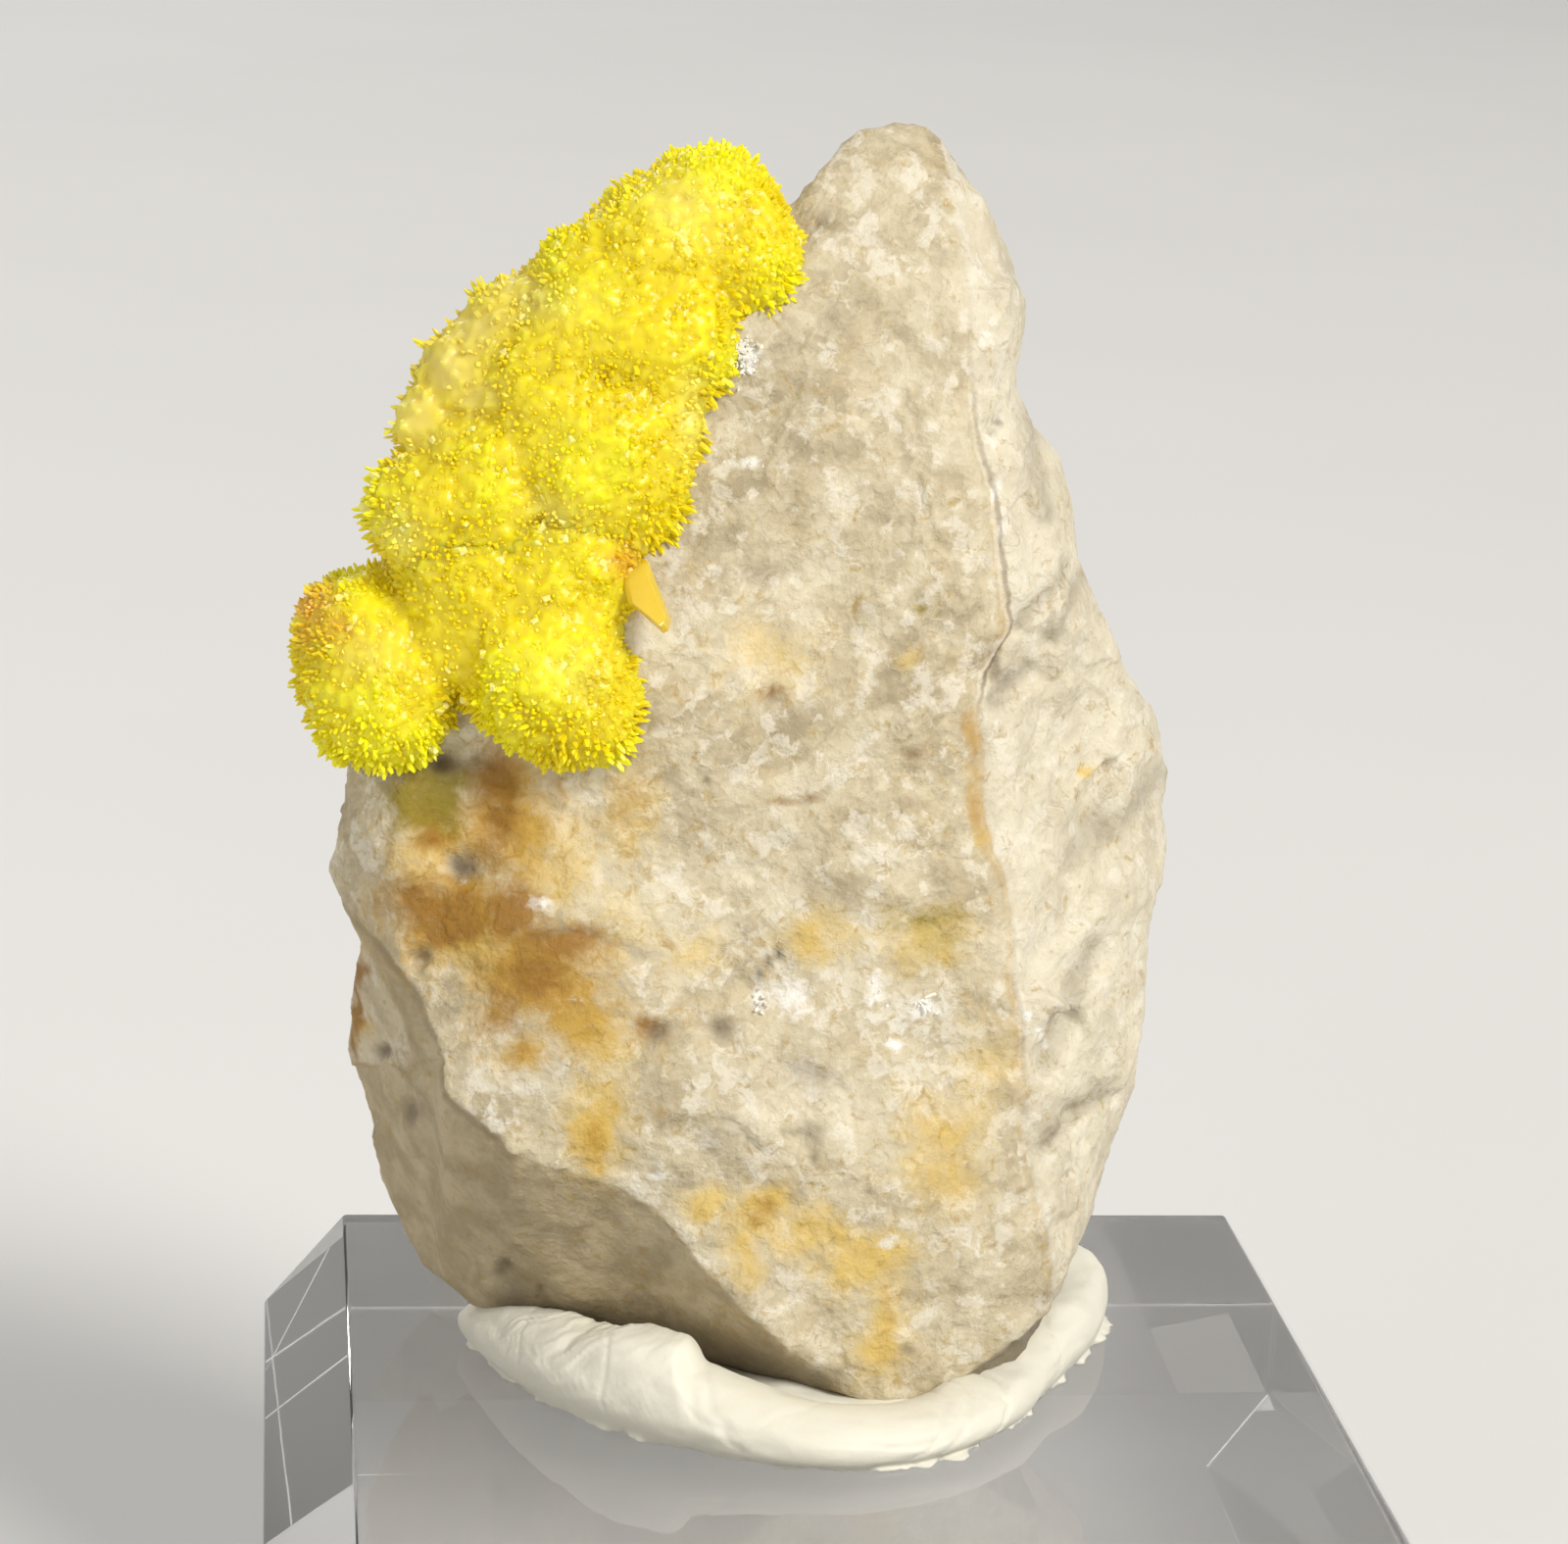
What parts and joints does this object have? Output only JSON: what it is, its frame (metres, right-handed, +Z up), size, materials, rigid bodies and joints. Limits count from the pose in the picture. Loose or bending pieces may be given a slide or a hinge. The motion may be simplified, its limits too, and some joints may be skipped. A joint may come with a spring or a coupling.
{
  "type": "creedite specimen",
  "caption": "Pale rough stone with a bristly yellow crystal crust on its upper left, held upright by white putty on a clear bevelled block.",
  "frame": {"origin": "centre of the display base's underside", "axes": "+Z up; the specimen's show side, with the crust, faces -Y; +X to the viewer's right"},
  "size_m": [0.0318, 0.0318, 0.0472],
  "materials": {
    "clear_acrylic": "polished, clear",
    "white_putty": "matt, kneaded",
    "pale_stone": "rough, granular, iron stained",
    "yellow_crystal": "vitreous needles, translucent",
    "amber_crystal": "vitreous, translucent"
  },
  "bodies": {
    "root": {"acrylic_base": "clear_acrylic", "mineral_tack": "white_putty", "matrix_rock": "pale_stone", "creedite_crust": "yellow_crystal", "amber_blade": "amber_crystal"}
  },
  "joints": []
}
